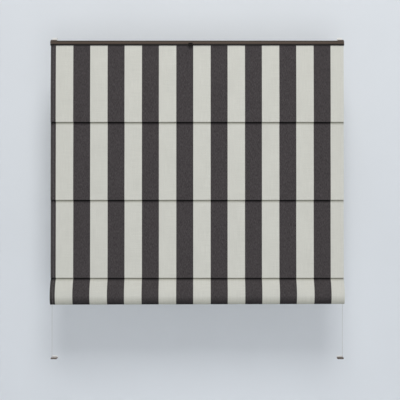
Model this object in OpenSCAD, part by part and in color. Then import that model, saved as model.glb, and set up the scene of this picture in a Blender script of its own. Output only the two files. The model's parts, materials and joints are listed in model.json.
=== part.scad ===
// Roman blind that hooks onto a window sash and slides on two taut guide cords.
// Frame: X along the rails, -Y towards the room, +Z up, sizes in millimetres.
// Origin: on the sash's front face at its top edge, midway between the two top hooks.

/* [Sash] */
// Height of the sash, from its top edge to its bottom edge
sash_h = 1318; // [1280:1:1600]
// Thickness of the sash flange that the hooks reach over
flange_t = 16; // [12:0.5:22]

/* [Blind] */
// Width over the end caps of the rails
blind_w = 1200; // [600:1:1400]
// Height of one panel of cloth, from crease to crease
panel_h = 318; // [240:1:322]
// Hang of the last fold below the lowest crease
fold_drop = 106; // [90:1:120]
// How far the last fold stands out in front of the panels
fold_out = 20; // [16:0.5:26]

/* [Rails] */
// Depth of the rail, from back to front
rail_d = 20; // [19:0.5:24]
// Height of the rail's front face
face_h = 14; // [13:0.5:18]
// Height of the recessed band below the face
band_h = 5; // [4:0.5:8]
// Depth of the step from the face to the band
band_inset = 3; // [2:0.5:3.5]
// Wall of the extrusion
rail_wall = 1.2; // [1:0.1:1.5]
// Space between the sash and the back of the rail
rail_off = 5; // [4:0.5:10]
// Rounding of the face's edges
rail_round = 2; // [1:0.25:3]
// Distance of the bottom rail's top below the lowest crease
bottom_gap = 12; // [10:0.5:16]

/* [End caps] */
// Length of an end cap beyond the rail
cap_l = 27; // [24:0.5:34]
// How much lower the cap's top lies than the rail's
cap_step = 2.4; // [1:0.1:4]
// Length of the plug inside the rail
plug_l = 16; // [10:1:24]
// Rounding of the cap's outer corners
cap_round = 3; // [1:0.5:5]
// Outer diameter of the cord brake
brake_d = 6; // [4.5:0.25:7]
// Height of the cord brake
brake_h = 9; // [6:0.5:11]

/* [Cloth] */
// Thickness of the cloth
cloth_t = 0.9; // [0.6:0.1:1.2]
// Distance of the cloth's edge from the outer end of the cap
cloth_inset = 2; // [1:0.5:6]
// How far a panel's lower edge stands out in front of the next panel
lap = 5; // [4.5:0.25:6.5]
// Height of the tuck behind a panel's lower edge
tuck_h = 7; // [6:0.5:12]
// Diameter of the spline in the rail's groove
spline_d = 3.5; // [2.5:0.25:4]
// Width of a dark stripe
dark_w = 69.25; // [20:0.25:150]
// Width of a light stripe
light_w = 71; // [20:0.25:150]
// Distance of one dark stripe's left edge from the middle of the blind
stripe_x = 54.8; // [-60:0.1:60]

/* [Stiffeners] */
// Diameter of a rod
rod_d = 4; // [3:0.25:5]
// Thickness of the pocket tape
tape_t = 0.6; // [0.4:0.1:1]
// Height of the tape's sewn flange
tape_h = 9; // [6:0.5:12]
// Side of the square rod clip
clip_s = 8; // [7:0.25:8.5]
// Length of a rod clip
clip_l = 18; // [15:0.5:24]

/* [Guide cords] */
// Diameter of a guide cord
cord_d = 1.4; // [1:0.1:2]
// Distance of the cord from the outer end of the cap
cord_inset = 6; // [5:0.25:9]
// Diameter of a cord ferrule
ferrule_d = 3.2; // [2.6:0.1:4]

/* [Hooks and shoes] */
// Thickness of the hooks' sheet steel
hook_t = 1.5; // [1:0.1:2]
// Width of a hook
hook_w = 19; // [17:0.5:22]
// Length of the lip behind the sash flange
lip_h = 8; // [6:0.5:12]
// Width of a shoe
shoe_w = 25; // [23:0.5:26]
// Distance of the shoe's middle from the outer end of the cap
shoe_inset = 14; // [13.5:0.25:16]
// Height of a shoe
shoe_h = 5; // [4.5:0.25:7]
// Distance of the top shoe's upper face below the sash's top edge
shoe_drop = 12; // [8:0.5:20]
// Distance of the bottom shoe's upper face above the sash's bottom edge
shoe_rise = 8; // [8:0.5:16]
// Hook plate left beyond the shoe
plate_tail = 5; // [3:0.5:12]
// Diameter of a shoe screw
screw_d = 2.2; // [1.8:0.1:2.4]
// Length of a shoe screw
screw_l = 10; // [6:0.5:10]

/* [Grips] */
// Width of a grip
grip_w = 18; // [12:0.5:30]
// Length of the grip's finger tab below the rail's face
grip_tab = 10; // [8:0.5:16]
// How far the grip stands out in front of the rail's face
grip_out = 6; // [4:0.5:10]
// Distance of the grip from the middle of the blind
grip_x = -27; // [-200:1:200]

/* [Colours] */
// Brown of the rails, caps and shoes
brown = "#5a4d44"; // [#5a4d44, #3c342e, #ece9e2]
// Light stripes of the cloth
cream = "#cfcec6"; // [#cfcec6, #ffffff, #d8c9a8]
// Dark stripes of the cloth
charcoal = "#464344"; // [#464344, #2b3a55, #6b2f2f]

/* [Hidden] */
$fn = 48;
// Clearance of pieces that lie or run loosely together
fit = 0.3;
// Clearance of pieces that are pressed together
snug = 0.1;
// Overshoot of a cutter past the face that it cuts
over = 1;
white = "#efefec";
steel = "#b9bcc0";
black = "#26231f";

// Main levels, from the sash's top edge downwards
shoe_gap = 0.4;
cloth_rise = 4;
rail_h = face_h + band_h;
rail_top = cap_step - shoe_drop - shoe_h - shoe_gap;
cloth_top = rail_top - rail_h + cloth_rise;
function crease(i) = cloth_top - i * panel_h;
low_top = crease(3) - bottom_gap;
shoe_low = shoe_rise - sash_h;

// Depths, from the sash's face towards the room
rail_y = -rail_off - rail_d / 2;
cord_y = rail_y;
face_y = -rail_off - rail_d;

// Places along the rail
rail_l = blind_w - 2 * cap_l;
cord_x = blind_w / 2 - cord_inset;
cloth_w = blind_w - 2 * cloth_inset;
shoe_x = blind_w / 2 - shoe_inset;
clip_end = cloth_w / 2;
clip_floor = 1.5;
clip_gap = 2;
rod_l = 2 * (clip_end - clip_l / 2 - clip_floor);
pocket_l = 2 * (clip_end - clip_l - clip_gap);

// Groove of the rail, measured from the middle of the rail's depth and from its top
groove_floor = 1.6;
hem_r = spline_d / 2 + fit + cloth_t / 2;
groove_r = hem_r + cloth_t / 2 + fit;
groove_u = -1;
groove_v = groove_floor + groove_r - rail_h;
slot_u = groove_u - hem_r;
slot_w = cloth_t + 2 * fit;
chamber_low = groove_v + groove_r + rail_wall;

// Path of the cloth, seen from the end as points of [depth, height]
slot_y = rail_y + slot_u;
spline_y = rail_y + groove_u;
lip_r = 1.2;
lip_set = 0.2;
lip_y = face_y + cloth_t / 2 - lip_set;
back_y = lip_y + 2 * lip_r;
next_y = lip_y + lap;
turn_r = (next_y - back_y) / 2;
fold_y = lip_y - fold_out;
hem_turn = 110;
arc_steps = 6;
hem_steps = 12;
curve_steps = 10;
panel_steps = 6;

// Share of its depth by which a panel bellies out, and the straight leads at its two ends
belly = 0.08;
top_lead = 2;
lip_lead = lip_r + cloth_t / 2 + 1;

// Shape of the last fold as shares of its hang and depth, with the pull at its lowest point
front_at = 0.65;
back_at = 0.68;
start_out = 0.36;
start_down = 0.08;
front_up = 0.28;
front_down = 0.2;
back_down = 0.18;
low_pull = 8;

// Points of an arc about c, from one angle to another
function arc(c, r, from, to, n) = [
    for (k = [0 : n])
        let (a = from + (to - from) * k / n)
            c + r * [cos(a), sin(a)]
];
// Points of a curve from a to d, drawn towards b and c, without its first point
function curve(a, b, c, d, n) = [
    for (k = [1 : n])
        let (t = k / n, s = 1 - t)
            s^3 * a + 3 * s^2 * t * b + 3 * s * t^2 * c + t^3 * d
];
// Front run of one panel, from y0 at height z0 to the lip at height z1, with a slight belly
function panel(y0, z0, z1) = [
    for (k = [0 : panel_steps])
        let (s = k / panel_steps)
            [y0 + (lip_y - y0) * (s + belly * sin(180 * s)), z0 + (z1 - z0) * s]
];
// Turn at the panel's lower edge, rise behind it and turn into the next panel
function tuck(z) = concat(
    arc([lip_y + lip_r, z + lip_r + cloth_t / 2], lip_r, 180, 360, arc_steps),
    arc([back_y + turn_r, z + tuck_h], turn_r, 180, 0, arc_steps)
);
// One panel below a tuck, with the tuck at its own lower edge
function next_panel(i) = concat(
    panel(next_y, crease(i - 1) + tuck_h - top_lead, crease(i) + lip_lead),
    tuck(crease(i))
);

// The last fold hangs from the third tuck and comes up into the bottom rail's groove
function last_fold(z) = let (
    start = [next_y, z - top_lead],
    after_start = [next_y - start_out * fold_out, z - start_down * fold_drop],
    front = [fold_y, z - front_at * fold_drop],
    low = [(fold_y + slot_y) / 2, z - fold_drop + cloth_t / 2],
    back = [slot_y, z - back_at * fold_drop],
    pull = [low_pull, 0]
) concat(
    [start],
    curve(start, after_start, front + [0, front_up * fold_drop], front, curve_steps),
    curve(front, front - [0, front_down * fold_drop], low - pull, low, curve_steps),
    curve(low, low + pull, back - [0, back_down * fold_drop], back, curve_steps)
);

cloth_path = concat(
    arc([spline_y, rail_top + groove_v], hem_r, -hem_turn, 180, hem_steps),
    panel(slot_y, rail_top - rail_h - top_lead, crease(1) + lip_lead),
    tuck(crease(1)),
    next_panel(2),
    next_panel(3),
    last_fold(crease(3)),
    arc([spline_y, low_top + groove_v], hem_r, 180, -hem_turn, hem_steps)
);

// Unit vector square to the step from a to b
function square_to(a, b) = let (d = b - a) [-d[1], d[0]] / norm(d);
// Path moved sideways by h, with mitred corners
function shifted(p, h) = let (last = len(p) - 1) [
    for (k = [0 : last])
        let (
            n1 = square_to(p[max(k - 1, 0)], p[max(k, 1)]),
            n2 = square_to(p[min(k, last - 1)], p[min(k + 1, last)]),
            m = n1 + n2
        )
            p[k] + m * 2 * h / (m * m)
];
function reversed(p) = [for (k = [len(p) - 1 : -1 : 0]) p[k]];
cloth_front = shifted(cloth_path, -cloth_t / 2);
cloth_back = shifted(cloth_path, cloth_t / 2);
cloth_outline = concat(cloth_back, reversed(cloth_front));

// Left edges of the dark and of the light stripes, held within the cloth
repeat = dark_w + light_w;
first_repeat = floor((-cloth_w / 2 - stripe_x) / repeat);
last_repeat = ceil((cloth_w / 2 - stripe_x) / repeat);
function within(x) = min(max(x, -cloth_w / 2), cloth_w / 2);
function dark_edge(k) = within(stripe_x + k * repeat);
function light_edge(k) = within(stripe_x + k * repeat + dark_w);

// Piece to show, or all of them

// Section drawn as [depth, height], run along X from x0 for the length l
module along_x(x0, l) {
    translate([x0, 0, 0])
        rotate([90, 0, 90])
            linear_extrude(l)
                children();
}

// Bar with round edges, seen from the end
module round_bar(y0, z0, w, h, r) {
    translate([y0 + r, z0])
        square([w - 2 * r, h]);
    translate([y0, z0 + r])
        square([w, h - 2 * r]);
    for (y = [y0 + r, y0 + w - r], z = [z0 + r, z0 + h - r])
        translate([y, z])
            circle(r);
}

// Outline of the rail, its top lowered by cut
module rail_outline(cut) {
    round_bar(-rail_d / 2, -face_h, rail_d, face_h - cut, rail_round);
    translate([-rail_d / 2 + band_inset, -rail_h])
        square([rail_d - 2 * band_inset, rail_h - face_h / 2 - cut]);
}

// Section of the rail with its chambers, its groove and the slot for the cloth
module rail_section() {
    rear_u = groove_u + groove_r + rail_wall;
    difference() {
        rail_outline(0);
        translate([-rail_d / 2 + rail_wall, chamber_low])
            square([rail_d - 2 * rail_wall, -chamber_low - rail_wall]);
        translate([rear_u, rail_wall - rail_h])
            square([rail_d / 2 - band_inset - rail_wall - rear_u, rail_h + chamber_low - 2 * rail_wall]);
        translate([groove_u, groove_v])
            circle(groove_r);
        translate([slot_u - slot_w / 2, -rail_h - over])
            square([slot_w, rail_h + over + groove_v]);
    }
}

module rail(top) {
    color(brown)
        translate([0, rail_y, top])
            along_x(-rail_l / 2, rail_l)
                rail_section();
}

// Right-hand end cap: a block with the cord bore, and the plug inside the rail
module cap(top) {
    plug_h = -chamber_low - rail_wall - cap_step;
    color(brown)
        translate([0, rail_y, top])
            difference() {
                union() {
                    intersection() {
                        along_x(rail_l / 2, cap_l)
                            rail_outline(cap_step);
                        translate([rail_l / 2 - cap_round, -rail_d / 2, -rail_h])
                            linear_extrude(rail_h)
                                round_bar(0, 0, cap_l + cap_round, rail_d, cap_round);
                    }
                    translate([rail_l / 2 - plug_l, -rail_d / 2 + rail_wall + fit, chamber_low + fit])
                        cube([plug_l + over, rail_d - 2 * rail_wall - 2 * fit, plug_h]);
                }
                translate([cord_x, 0, -rail_h - over])
                    cylinder(d = cord_d + 4 * fit, h = rail_h + 2 * over);
                translate([cord_x, 0, -rail_h - over])
                    cylinder(d = brake_d + 2 * snug, h = brake_h + over);
            }
}

// Right-hand cord brake, pushed into the cap from below
module brake(top) {
    color(black)
        translate([cord_x, cord_y, top - rail_h])
            difference() {
                cylinder(d = brake_d, h = brake_h);
                translate([0, 0, -over])
                    cylinder(d = cord_d + 2 * snug, h = brake_h + 2 * over);
            }
}

// Finger tab with a tongue under the rail's face, standing out towards -Y
module grip(top) {
    tongue = band_inset - fit;
    tongue_t = 2;
    plate_h = 5;
    plate_t = 1.4;
    edge_r = 2;
    corner_r = 4;
    front_u = -rail_d / 2 - grip_out;
    color(black)
        translate([grip_x, 0, top - face_h])
            intersection() {
                along_x(-grip_w / 2, grip_w)
                    union() {
                        translate([-rail_d / 2 - snug - plate_t, -grip_tab / 2])
                            square([plate_t, plate_h + grip_tab / 2 - plate_t / 2]);
                        translate([-rail_d / 2 - snug - plate_t / 2, plate_h - plate_t / 2])
                            circle(plate_t / 2);
                        translate([-rail_d / 2 - plate_t, -tongue_t - snug])
                            square([tongue + plate_t, tongue_t]);
                        round_bar(front_u, -grip_tab, grip_out + over, grip_tab - snug, edge_r);
                    }
                translate([0, 0, -grip_tab])
                    rotate([90, 0, 0])
                        linear_extrude(2 * rail_d, center = true)
                            round_bar(-grip_w / 2, 0, grip_w, grip_tab + plate_h, corner_r);
            }
}

module spline(top) {
    color(white)
        translate([0, spline_y, top + groove_v])
            along_x(-rail_l / 2 + over, rail_l - 2 * over)
                circle(d = spline_d);
}

// Corners of the cloth's two hems, cut away where the end caps stand
module hem_notch(top) {
    translate([rail_l / 2 - over, slot_y - slot_w, top - rail_h - over])
        cube([cap_l + 2 * over, rail_d, rail_h + over]);
}

// One stripe of the cloth, a length of the one section
module stripe(x0, x1) {
    if (x1 > x0)
        along_x(x0, x1 - x0)
            polygon(cloth_outline);
}

module notches() {
    for (side = [0, 1], top = [rail_top, low_top])
        mirror([side, 0, 0])
            hem_notch(top);
}

module fabric() {
    color(charcoal)
        difference() {
            for (k = [first_repeat : last_repeat])
                stripe(dark_edge(k), light_edge(k));
            notches();
        }
    color(cream)
        difference() {
            for (k = [first_repeat : last_repeat])
                stripe(light_edge(k), dark_edge(k + 1));
            notches();
        }
}

// Height of a rod above its crease
rod_drop = 1;
rod_z = tuck_h - rod_drop;

module rod(i) {
    color(white)
        translate([0, cord_y, crease(i) + rod_z])
            along_x(-rod_l / 2, rod_l)
                circle(d = rod_d);
}

// Tape around the rod, with a flange sewn to the back of the cloth
module pocket(i) {
    sleeve_d = rod_d + 2 * fit + 2 * tape_t;
    back = next_y + cloth_t / 2 + snug - cord_y;
    color(white)
        translate([0, cord_y, crease(i) + rod_z])
            along_x(-pocket_l / 2, pocket_l)
                difference() {
                    union() {
                        circle(d = sleeve_d);
                        translate([back, -tape_h])
                            square([tape_t, tape_h + tape_t]);
                        translate([back, -tape_t])
                            square([-back, 2 * tape_t]);
                    }
                    circle(d = rod_d + 2 * fit);
                }
}

// Right-hand clip on the rod's end, with the eye that runs on the cord
module clip(i) {
    clip_round = 1.5;
    color(white)
        translate([0, cord_y, crease(i) + rod_z])
            difference() {
                along_x(clip_end - clip_l, clip_l)
                    round_bar(-clip_s / 2, -clip_s / 2, clip_s, clip_s, clip_round);
                along_x(clip_end - clip_l - over, rod_l / 2 - clip_end + clip_l + over + fit)
                    circle(d = rod_d + 2 * snug);
                translate([cord_x, 0, -clip_s])
                    cylinder(d = cord_d + 2 * fit, h = 2 * clip_s);
            }
}

// Hook over the sash's top edge, seen from the end, with its plate reaching down to low
module hook_section(low) {
    difference() {
        round_bar(-hook_t, low, flange_t + 2 * hook_t, hook_t - low, hook_t);
        translate([0, low - over])
            square([flange_t, over - low]);
        translate([flange_t / 2, low - over])
            square([flange_t, over - low - lip_h]);
    }
}

// Right-hand hook for a shoe whose middle lies at the depth mid below the sash's edge
module hook(mid) {
    color(white)
        difference() {
            along_x(shoe_x - hook_w / 2, hook_w)
                hook_section(-mid - shoe_h / 2 - plate_tail);
            for (x = screw_places)
                translate([x, 0, -mid])
                    rotate([90, 0, 0])
                        screw_body(snug, over);
        }
}

// Screws on both sides of a line a little inside the shoe's middle, clear of the cord
screw_mid = shoe_x - 2;
screw_apart = 8;
screw_places = [screw_mid - screw_apart / 2, screw_mid + screw_apart / 2];

// Countersunk screw along +Z with its head's face at the start, widened by gap for its hole
module screw_body(gap, past) {
    head_h = 1;
    translate([0, 0, -past])
        cylinder(d = 2 * screw_d + 2 * gap, h = past + snug);
    translate([0, 0, snug])
        cylinder(d1 = 2 * screw_d + 2 * gap, d2 = screw_d + 2 * gap, h = head_h);
    cylinder(d = screw_d + 2 * gap, h = screw_l + gap);
}

// Shoe left under the ferrule, and how far its front lies behind the rail's face
ferrule_floor = 1.4;
shoe_set = 1;

// Right-hand shoe with its top at the height top; its ferrule sits above or below
module shoe(top, ferrule_up) {
    shoe_d = -face_y - hook_t - shoe_set;
    seat = ferrule_up ? top - shoe_h + ferrule_floor : top - shoe_h - over;
    color(brown)
        difference() {
            translate([shoe_x - shoe_w / 2, face_y + shoe_set, top - shoe_h])
                linear_extrude(shoe_h)
                    union() {
                        round_bar(0, 0, shoe_w, shoe_d, cap_round);
                        translate([0, shoe_d / 2])
                            square([shoe_w, shoe_d / 2]);
                    }
            translate([cord_x, cord_y, top - shoe_h - over])
                cylinder(d = cord_d + 2 * fit, h = shoe_h + 2 * over);
            translate([cord_x, cord_y, seat])
                cylinder(d = ferrule_d + 2 * snug, h = shoe_h - ferrule_floor + over);
            for (x = screw_places)
                translate([x, 0, top - shoe_h / 2])
                    rotate([90, 0, 0])
                        screw_body(snug, 0);
        }
}

// Puts a piece made for the top edge of the sash at its bottom edge instead
module at_bottom() {
    translate([0, 0, -sash_h])
        mirror([0, 0, 1])
            children();
}

top_mid = shoe_drop + shoe_h / 2;
low_mid = shoe_rise - shoe_h / 2;

module shoe_screws() {
    color(steel)
        for (side = [0, 1], z = [-top_mid, low_mid - sash_h], x = screw_places)
            mirror([side, 0, 0])
                translate([x, 0, z])
                    rotate([90, 0, 0])
                        screw_body(0, 0);
}

cord_top = -shoe_drop;
cord_low = shoe_low - shoe_h;

module guide_cord() {
    color(white)
        translate([cord_x, cord_y, cord_low])
            cylinder(d = cord_d, h = cord_top - cord_low);
}

module cord_ferrules() {
    ferrule_h = shoe_h - ferrule_floor - snug;
    color(steel)
        for (side = [0, 1], z = [cord_top - ferrule_h, cord_low])
            mirror([side, 0, 0])
                translate([cord_x, cord_y, z])
                    difference() {
                        cylinder(d = ferrule_d, h = ferrule_h);
                        translate([0, 0, -over])
                            cylinder(d = cord_d + 2 * snug, h = ferrule_h + 2 * over);
                    }
}

// Left-hand pieces are the right-hand ones mirrored
module left() {
    mirror([1, 0, 0])
        children();
}

// The bottom grip is turned to the back, clear of the fold
module turned() {
    translate([0, rail_y, 0])
        rotate([0, 0, 180])
            children();
}

left() hook(top_mid);  // top_hook_left
hook(top_mid);  // top_hook_right
left() shoe(-shoe_drop, true);  // top_shoe_left
shoe(-shoe_drop, true);  // top_shoe_right
left() at_bottom() hook(low_mid);  // bottom_hook_left
at_bottom() hook(low_mid);  // bottom_hook_right
left() shoe(shoe_low, false);  // bottom_shoe_left
shoe(shoe_low, false);  // bottom_shoe_right
shoe_screws();
left() guide_cord();  // guide_cord_left
guide_cord();  // guide_cord_right
cord_ferrules();
rail(rail_top);  // top_rail
left() cap(rail_top);  // top_cap_left
cap(rail_top);  // top_cap_right
left() brake(rail_top);  // top_brake_left
brake(rail_top);  // top_brake_right
translate([0, rail_y, 0]) grip(rail_top);  // top_grip
spline(rail_top);  // top_spline
fabric();
rod(1);  // rod_1
pocket(1);  // rod_1_pocket
left() clip(1);  // rod_1_clip_left
clip(1);  // rod_1_clip_right
rod(2);  // rod_2
pocket(2);  // rod_2_pocket
left() clip(2);  // rod_2_clip_left
clip(2);  // rod_2_clip_right
rod(3);  // rod_3
pocket(3);  // rod_3_pocket
left() clip(3);  // rod_3_clip_left
clip(3);  // rod_3_clip_right
rail(low_top);  // bottom_rail
left() cap(low_top);  // bottom_cap_left
cap(low_top);  // bottom_cap_right
left() brake(low_top);  // bottom_brake_left
brake(low_top);  // bottom_brake_right
turned() grip(low_top);  // bottom_grip
spline(low_top);  // bottom_spline
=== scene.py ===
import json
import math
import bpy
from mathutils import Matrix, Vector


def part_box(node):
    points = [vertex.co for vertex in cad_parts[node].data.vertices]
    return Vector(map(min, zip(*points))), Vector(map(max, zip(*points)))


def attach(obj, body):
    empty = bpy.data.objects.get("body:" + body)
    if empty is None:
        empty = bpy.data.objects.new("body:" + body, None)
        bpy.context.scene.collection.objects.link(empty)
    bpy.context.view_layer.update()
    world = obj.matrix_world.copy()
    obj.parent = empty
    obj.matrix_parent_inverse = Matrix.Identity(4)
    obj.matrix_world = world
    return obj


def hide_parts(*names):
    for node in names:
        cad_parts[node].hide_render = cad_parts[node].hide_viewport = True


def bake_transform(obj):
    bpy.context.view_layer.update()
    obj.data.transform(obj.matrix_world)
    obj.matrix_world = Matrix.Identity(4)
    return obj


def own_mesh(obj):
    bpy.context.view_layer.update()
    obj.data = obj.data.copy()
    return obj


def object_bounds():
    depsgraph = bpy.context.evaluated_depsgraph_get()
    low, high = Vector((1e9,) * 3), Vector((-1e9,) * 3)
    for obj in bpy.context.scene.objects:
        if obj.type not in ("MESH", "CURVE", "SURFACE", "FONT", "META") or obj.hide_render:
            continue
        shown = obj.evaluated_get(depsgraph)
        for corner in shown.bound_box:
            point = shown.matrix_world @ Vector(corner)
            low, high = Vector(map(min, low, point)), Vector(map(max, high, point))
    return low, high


bl_info = {
    "name": "Striped Roman Blind",
    "version": (1, 0, 0),
    "blender": (4, 5, 0),
    "location": "View3D > Sidebar > Blind",
    "description": "Dresses a sash-hung roman blind with its cloth, tapes, cords and finishes",
    "category": "Object",
}

from functools import partial, partialmethod

import bpy
from bpy.props import FloatProperty, FloatVectorProperty, IntProperty, PointerProperty
from bpy.types import Operator, Panel, PropertyGroup
from mathutils import Vector, noise

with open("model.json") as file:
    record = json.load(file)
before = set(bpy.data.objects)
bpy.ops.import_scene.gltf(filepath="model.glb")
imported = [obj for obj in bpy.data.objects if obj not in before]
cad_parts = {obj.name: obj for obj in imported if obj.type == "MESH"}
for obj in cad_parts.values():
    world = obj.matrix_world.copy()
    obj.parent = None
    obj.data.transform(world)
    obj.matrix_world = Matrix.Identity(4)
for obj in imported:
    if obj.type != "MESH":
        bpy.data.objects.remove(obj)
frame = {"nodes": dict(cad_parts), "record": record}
CAD_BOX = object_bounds()

MM = 0.001

# Bodies and joints of the frame
FIXINGS, UPPER, LOWER = "fixings", "upper", "lower"
STIFFENERS = ("stiffener_1", "stiffener_2", "stiffener_3")


def middle(node):
    """Middle of a CAD node's box."""
    low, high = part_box(node)
    return (Vector(low) + Vector(high)) / 2


def half_height(node):
    """Half the height of a CAD node's box."""
    low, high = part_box(node)
    return (high.z - low.z) / 2


# Where the CAD pieces that carry the cloth are
CLOTH_LOW, CLOTH_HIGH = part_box("fabric")
RAIL_LOW, RAIL_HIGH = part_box("top_rail")
BOTTOM_LOW, BOTTOM_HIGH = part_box("bottom_rail")
RODS = [middle(f"rod_{i}") for i in (1, 2, 3)]
TOP_SPLINE = middle("top_spline")
BOTTOM_SPLINE = middle("bottom_spline")
SPLINE_R = half_height("top_spline")
ROD_R = half_height("rod_1")

# The cloth's route, with the values of the part's source
# Room around a spline or a rod
FIT = 0.3 * MM
# How far a panel's lower edge stands out in front of the next panel, and the radius of its turn
LAP = 5 * MM
LIP_R = 1.2 * MM
LIP_SET = 0.2 * MM
# Height of a tuck, and of its rod, above the crease
TUCK_H = 7 * MM
ROD_RISE = TUCK_H - 1 * MM
# Bulge of a panel as a share of its depth
BELLY = 0.08
# Angle at which a hem ends around its spline
HEM_TURN = -110
# Straight lengths at the top of a panel, above a lower edge, at the top of the fold and below a groove
TOP_LEAD, LIP_LEAD, FOLD_LEAD, SLOT_DROP = 2 * MM, 1 * MM, 2 * MM, 0.5 * MM
CREASES = [rod.z - ROD_RISE for rod in RODS]
FOLD_OUT = RAIL_LOW.y - LIP_SET - CLOTH_LOW.y
FOLD_DROP = CREASES[2] - CLOTH_LOW.z
CLOTH_HALF = (CLOTH_HIGH.x - CLOTH_LOW.x) / 2
# Room between the cloth in a groove and the end cap
CAP_ROOM = 1 * MM

# Shape of the last fold, as shares of its drop, with NECK_OUT as a share of how far it stands out
NECK_OUT, NECK_DROP = 0.36, 0.08
FRONT_AT, FRONT_SWELL, FRONT_TURN = 0.65, 0.28, 0.2
BACK_AT, BACK_RISE = 0.68, 0.18
LOW_PULL = 8 * MM
LOOSE_FRONT, LOOSE_LOW, LOOSE_BACK = 0.8, 1.0, 0.3

# Points along the stretches of a route
PANEL_STEPS, TUCK_STEPS, HEM_STEPS, NECK_STEPS, FOLD_STEPS = 26, 8, 12, 20, 16
# How near a point has to be to a height or a place to count as there
NEAR_HEIGHT = 0.1 * MM
NEAR_COLUMN = 0.3

# How the cloth strays: how far, over which length, and the seed of each random drift
SHORT_SHARE = 0.5
RIPPLE_LONG, RIPPLE_SHORT, RIPPLE_SEED, SHORT_SEED = 0.21, 0.08, 1.0, 2.0
EDGE_SHARE = 0.03
CURL, CURL_LENGTH, CURL_SEED = 0.5 * MM, 0.09, 3.0
DIP, DIP_LENGTH, DIP_REACH, DIP_SEED = 0.25 * MM, 0.13, 0.06, 5.0
WAVER, WAVER_LENGTH, WAVER_SEED = 0.3 * MM, 0.15, 9.0
SWAY, SWAY_LENGTH, SWAY_SEED = 1.3 * MM, 0.30, 12.0
SHIVER, SHIVER_LENGTH, SHIVER_SEED = 0.5 * MM, 0.09, 13.0
TAPE_WAVE, TAPE_WAVE_LENGTH, TAPE_SEED = 0.5 * MM, 0.11, 20.0

# Sewing: the seam in a hem, how a hem lies on the cloth and how near it comes to a lower edge
HEM_SEAM = 3 * MM
HEM_LIFT = 1.02
HEM_ROOM = 1 * MM
HEM_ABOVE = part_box("rod_1_clip_left")[1].z + HEM_ROOM - CREASES[0]
SEAM_ABOVE = 3 * MM
# A stitch: its share of the pitch, its thread, and its stations as (place, lift, share of the radius)
STITCH_SHARE = 0.72
THREAD_R = 0.2 * MM
THREAD_PITCH = 0.3 * MM
THREAD_COLOUR = (0.42, 0.41, 0.385)
STITCH_RING = 5
STATIONS = ((-0.5, 0.0, 0.25), (-0.42, 0.55, 0.9), (0.0, 0.8, 1.0), (0.42, 0.55, 0.9), (0.5, 0.0, 0.25))

# Rod pockets: the tape, how it lies around the rod, where it is free to wave and where it is sewn
TAPE_T = 0.55 * MM
TAPE_PITCH = 0.7 * MM
TAPE_OFF = 0.02 * MM
TAPE_GAP = 1.15
TAPE_TURN, TAPE_STEPS = 125, 20
TAPE_NECK, TAPE_TAIL = 0.2 * MM, 3 * MM
TAPE_FREE, TAPE_LONGER = 4 * MM, 0.3 * MM
TAPE_SEAM = 3 * MM
LOOSE_EDGE, LOOSE_SEAM = 0.6, 0.2

# Guide cords: mesh row, full twist, corners of the section, strands and how deep they part
CORD_ROW, CORD_TWIST, CORD_RING = 1.1 * MM, 7 * MM, 12
CORD_STRANDS, STRAND_DEPTH = 3, 0.14
CORD_POINTS = 40
CORD_PITCH = 0.6 * MM

# Angles in degrees above which an edge is sharp
SHARP, CORD_SHARP = 50, 70

# Stage: place and size of each lamp, the wall, the floor and their tone
LAMPS = {"key": ((0.25, -3.4, 2.9), 2.0), "fill": ((0.4, -3.4, -1.5), 1.6), "rear": ((-0.8, 2.6, 0.9), 1.6)}
WALL_Y, WALL_HALF, WALL_TOP = 0.25, 4.0, 2.5
FLOOR_Z, FLOOR_HALF = -2.2, 6.0
CORNERS = ((-1, -1), (1, -1), (1, 1), (-1, 1))
SEEN_WORLD = 0.9
PALE_SCALE, PALE_TONE, PALE_ROUGHNESS = 3.0, (0.3, 0.7, 0.985, 1.0), 0.9


def a_number(name, description, default, **more):
    """Setting that is a number."""
    return FloatProperty(name=name, description=description, default=default, **more)


def a_colour(name, description, default):
    """Setting that is a colour."""
    return FloatVectorProperty(name=name, description=description, default=default, subtype="COLOR")


a_length = partial(a_number, unit="LENGTH", precision=5)


class BlindCloth(PropertyGroup):
    """Sizes and colours of the cloth"""

    thickness: a_length("Thickness", "Thickness of the cloth", 0.9 * MM)
    dark_width: a_length("Dark stripe", "Width of a dark stripe", 69.25 * MM)
    light_width: a_length("Light stripe", "Width of a light stripe", 71 * MM)
    stripe_start: a_length("Stripe start", "Left edge of one dark stripe, from the middle", 54.8 * MM)
    light_colour: a_colour("Light colour", "Colour of the light stripes", (0.600, 0.597, 0.545))
    dark_colour: a_colour("Dark colour", "Colour of the dark stripes", (0.0540, 0.0475, 0.0490))
    thread_pitch: a_length("Thread pitch", "Distance between two threads", 0.85 * MM)
    heather: a_number("Heather", "How much the threads of the dark stripes vary in tone", 0.62)
    tuck_depth: a_number("Tuck shade", "Light left in a tuck, as a share of the cloth's colour", 0.9)
    tuck_fade: a_length("Tuck fade", "Length over which the shade below a tuck fades", 14 * MM)
    last_fade: a_length("Last fade", "The same length at the top of the last fold", 17 * MM)
    under_shade: a_number("Under shade", "Shade at the lowest line of the last fold", 0.9)
    under_fade: a_length("Under fade", "Length over which that shade fades, up from the line", 41 * MM)
    ripple: a_length("Ripple", "How far the panels stray from flat", 0.8 * MM)
    fold_tilt: a_length("Fold tilt", "How much lower the last fold hangs at its left end", 3 * MM)
    columns: IntProperty(name="Columns", description="Mesh columns across the cloth", default=120, min=20)
    hem_width: a_length("Side hem", "Width of the turned-in side hems", 15 * MM)
    stitch_pitch: a_length("Stitch pitch", "Distance between two stitches", 3.6 * MM)


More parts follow.
